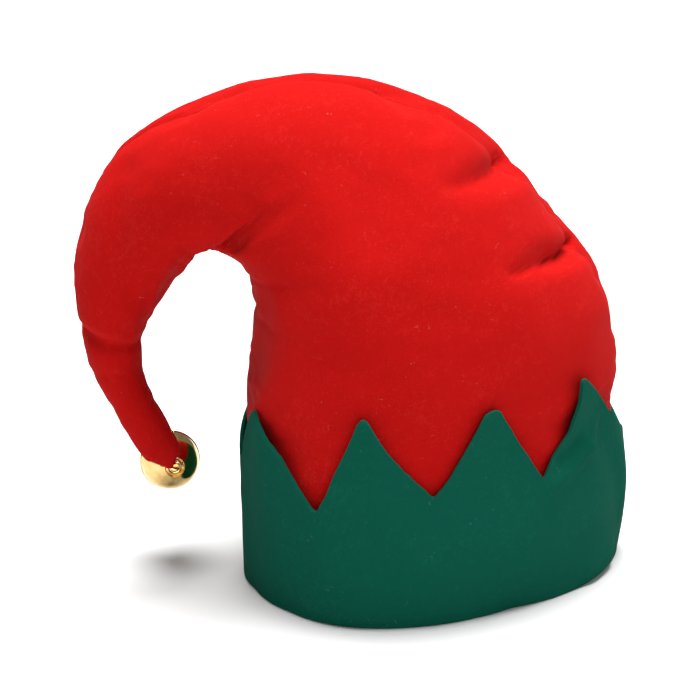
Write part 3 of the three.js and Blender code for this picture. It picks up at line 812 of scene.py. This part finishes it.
def make_bell_shell():
    """The hollow bell: two spun cups crimped together at the seam, slotted at the foot."""
    deselect()
    bpy.ops.mesh.primitive_circle_add(vertices=len(bell_outline()), radius=BELL_RADIUS)
    shell = bpy.context.active_object
    shell.name = "bell_gold"
    for corner, (x, z) in zip(shell.data.vertices, bell_outline()):
        corner.co = (x, 0, z)
    bpy.ops.object.mode_set(mode="EDIT")
    bpy.ops.mesh.select_all(action="SELECT")
    bpy.ops.mesh.spin(steps=96, angle=2 * math.pi, center=(0, 0, 0), axis=(0, 0, 1))
    bpy.ops.mesh.select_all(action="SELECT")
    bpy.ops.mesh.remove_doubles(threshold=0.00001)
    bpy.ops.mesh.dissolve_degenerate(threshold=0.00001)
    bpy.ops.mesh.select_all(action="SELECT")
    bpy.ops.mesh.normals_make_consistent(inside=False)
    bpy.ops.object.mode_set(mode="OBJECT")
    reach = math.radians(SLOT_REACH)
    for turn in (0, math.pi / 2):
        deselect()
        bpy.ops.mesh.primitive_cube_add(
            size=1, location=(0, 0, -BELL_RADIUS), rotation=(0, 0, turn),
            scale=(2 * BELL_RADIUS * math.sin(reach), SLOT_WIDTH, 2 * BELL_RADIUS * (1 - math.cos(reach))))
        cut(shell, bpy.context.active_object)
        for side in (-1, 1):
            way = Vector((math.sin(reach) * side, 0, -math.cos(reach)))
            way.rotate(Matrix.Rotation(turn, 3, "Z"))
            deselect()
            bpy.ops.mesh.primitive_cylinder_add(
                vertices=32, radius=SLOT_EYE / 2, depth=BELL_RADIUS, location=way * BELL_RADIUS,
                rotation=way.to_track_quat("Z", "Y").to_euler())
            cut(shell, bpy.context.active_object)
    deselect()
    bpy.ops.mesh.primitive_cube_add(
        size=1, location=(0, 0, BELL_RADIUS), rotation=(0, 0, math.radians(LOOP_ROLL - BELL_ROLL)),
        scale=(LOOP_WIDTH + WIRE + 2 * FIT_GAP, WIRE + 2 * FIT_GAP, BELL_RADIUS))
    cut(shell, bpy.context.active_object)
    soften = shell.modifiers.new("soften", "BEVEL")
    soften.width = 0.12 * MM
    soften.segments = 2
    soften.limit_method = "ANGLE"
    soften.angle_limit = math.radians(50)
    only(shell)
    bpy.ops.object.modifier_apply(modifier="soften")
    shell.data.transform(bell_matrix())
    shell.data.materials.clear()
    shell.data.materials.append(GOLD_PLATE)
    bpy.ops.object.shade_smooth_by_angle(angle=math.radians(35))
    return shell


def wire_along(name, points, diameter, material, closed=False, resolution=3, to_place=None):
    """A round wire or thread along smooth points, as a mesh."""
    curve = bpy.data.curves.new(name, "CURVE")
    curve.dimensions = "3D"
    curve.bevel_depth = diameter / 2
    curve.bevel_resolution = resolution
    curve.use_fill_caps = True
    spline = curve.splines.new("NURBS")
    spline.points.add(len(points) - 1)
    for point, place in zip(spline.points, points):
        point.co = (*place, 1)
    spline.order_u = 3
    spline.use_endpoint_u = not closed
    spline.use_cyclic_u = closed
    spline.resolution_u = 6
    wire = bpy.data.objects.new(name, curve)
    bpy.context.scene.collection.objects.link(wire)
    only(wire)
    bpy.ops.object.convert(target="MESH")
    if to_place is not None:
        wire.data.transform(to_place)
    wire.data.materials.clear()
    wire.data.materials.append(material)
    wire.data.polygons.foreach_set("use_smooth", [True] * len(wire.data.polygons))
    outward(wire)
    return wire


def loop_path():
    """The middle of the bell's wire loop, upright over the bell."""
    hollow = BELL_RADIUS - BELL_WALL
    leg = LOOP_WIDTH / 2
    foot = math.sqrt(hollow**2 - (leg + FOOT_REACH + WIRE) ** 2) - FIT_GAP - WIRE / 2
    top = BELL_RADIUS + LOOP_HEIGHT - WIRE / 2
    half = [
        (leg + FOOT_REACH, foot), (leg + FOOT_REACH * 0.35, foot + 0.1 * MM), (leg, foot + WIRE),
        (leg, BELL_RADIUS - WIRE / 2), (leg * 0.85, top - leg * 0.8), (leg * 0.45, top - leg * 0.2)]
    upright = [(-x, z) for x, z in half] + [(0, top)] + [(x, z) for x, z in half[::-1]]
    lean = math.radians(LOOP_LEAN)
    over = [max(0, z - BELL_RADIUS) for _, z in upright]
    return [(x, far * math.sin(lean), z - far * (1 - math.cos(lean)))
            for (x, z), far in zip(upright, over)]


def make_thread():
    """A few turns of sewing thread that bind the wire loop to the felt of the point."""
    path = loop_path()
    top = bell_matrix(LOOP_ROLL) @ Vector(path[len(path) // 2])
    leg = bell_matrix(LOOP_ROLL) @ Vector(path[len(path) // 2 - 2])
    felt_end = Vector(crown_point(17.4, 60.0, -FELT / 2).tolist())
    turns = []
    for n, share in enumerate((0.15, 0.42, 0.68, 0.9)):
        held = leg.lerp(top, share)
        sewn = felt_end + Vector((0.5 - 0.3 * n, 0.4 * (n % 2), 0.9 * n - 1.0)) * MM
        middle, half = (held + sewn) / 2, (held - sewn) / 2
        half *= 1 + 0.9 * MM / half.length
        aside = half.cross(leg - top).normalized() * 1.1 * MM
        ring = [middle + half * math.cos(a) + aside * math.sin(a)
                for a in np.linspace(0, 2 * math.pi, 13)[:-1]]
        turns.append(wire_along("bell_thread", ring, THREAD, RED_THREAD, closed=True, resolution=2))
    only(turns[0])
    for turn in turns[1:]:
        turn.select_set(True)
    bpy.ops.object.join()
    return turns[0]


# ---------------------------------------------------------------- putting the hat together
settled_felt = settle_crown()
crown_front = crown_panel("crown_front_felt", 1, settled_felt)
crown_back = crown_panel("crown_back_felt", -1, settled_felt)
cuff = make_cuff()
bell = make_bell_shell()
loop = wire_along(
    "bell_wire_loop", loop_path(), WIRE, GOLD_PLATE, resolution=5, to_place=bell_matrix(LOOP_ROLL))
thread = make_thread()
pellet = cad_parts["bell_pellet"]
pellet.data.materials.clear()
pellet.data.materials.append(PELLET_STEEL)

for piece, node, slot in (
    (crown_front, "crown_front", "red_felt"),
    (crown_back, "crown_back", "red_felt"),
    (cuff, "cuff", "green_felt"),
    (bell, "bell_shell", "gold_plate"),
    (loop, "bell_loop", "gold_plate"),
):
    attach(piece, "root")
    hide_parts(node)
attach(thread, "root")

# ---------------------------------------------------------------- floor, light and camera
deselect()
bpy.ops.mesh.primitive_plane_add(size=40, location=(0, 0, 0))
floor = bpy.context.active_object
floor.name = "pale_floor"
floor_paint = bpy.data.materials.new("pale_floor")
floor_paint.use_nodes = True
floor_shader = floor_paint.node_tree.nodes["Principled BSDF"]
floor_shader.inputs["Base Color"].default_value = (0.52, 0.52, 0.52, 1)
floor_shader.inputs["Roughness"].default_value = 0.9
floor.data.materials.append(floor_paint)

world = bpy.data.worlds.new("soft_studio")
world.use_nodes = True
world.node_tree.nodes["Background"].inputs["Color"].default_value = (1, 1, 1, 1)
world.node_tree.nodes["Background"].inputs["Strength"].default_value = 0.25
bpy.context.scene.world = world


def lamp_towards(name, kind, place, aim, power, **settings):
    """A lamp at place that faces aim."""
    lamp = bpy.data.lights.new(name, kind)
    lamp.energy = power
    for setting, value in settings.items():
        setattr(lamp, setting, value)
    light = bpy.data.objects.new(name, lamp)
    light.location = place
    light.rotation_euler = (Vector(aim) - Vector(place)).to_track_quat("-Z", "Y").to_euler()
    bpy.context.scene.collection.objects.link(light)


lamp_towards("sky_above", "SUN", (0.0, 0.2, 1.5), (0, 0, 0), 9.8, angle=math.radians(42))
lamp_towards("front_low", "AREA", (0.25, -1.45, 0.4), (0, 0, 0.1), 9, size=0.9)
lamp_towards("side_right", "AREA", (1.3, -0.4, 0.6), (0, 0, 0.1), 2.5, size=0.9)

camera_data = bpy.data.cameras.new("camera")
camera_data.lens = 126.14
camera_data.sensor_width = 36
camera = bpy.data.objects.new("camera", camera_data)
back = Vector((0, -math.cos(CAMERA_RISE), math.sin(CAMERA_RISE)))
camera.location = CAMERA_AIM + back * CAMERA_AWAY
camera.rotation_euler = (-back).to_track_quat("-Z", "Y").to_euler()
bpy.context.scene.collection.objects.link(camera)
bpy.context.scene.camera = camera
bpy.context.scene.view_settings.view_transform = "Standard"
